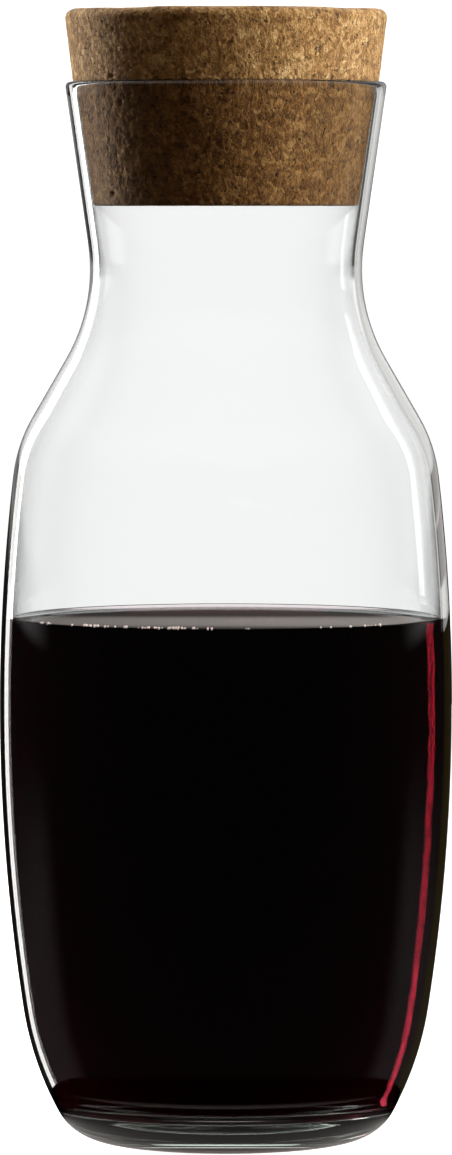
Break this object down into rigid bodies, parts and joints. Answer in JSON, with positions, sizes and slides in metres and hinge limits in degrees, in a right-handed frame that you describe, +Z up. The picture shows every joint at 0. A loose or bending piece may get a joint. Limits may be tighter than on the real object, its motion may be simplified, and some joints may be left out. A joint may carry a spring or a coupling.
{
  "type": "corked glass bottle",
  "caption": "Wide-mouthed clear glass carafe with a waisted neck and heavy base, closed by a tapered cork stopper and filled to mid height with red wine.",
  "frame": {"origin": "middle of the foot, on the surface that the bottle stands on", "axes": "+Z up the bottle's axis towards the cork; X and Y level, and alike because the bottle is round"},
  "size_m": [0.114, 0.114, 0.2849],
  "materials": {
    "clear_glass": "clear, polished",
    "red_wine": "still dark red liquid, nearly black in depth",
    "natural_cork": "ground cork, matt, fine grained"
  },
  "bodies": {
    "root": {"bottle": "clear_glass", "wine": "red_wine", "cork": "natural_cork"}
  },
  "joints": []
}
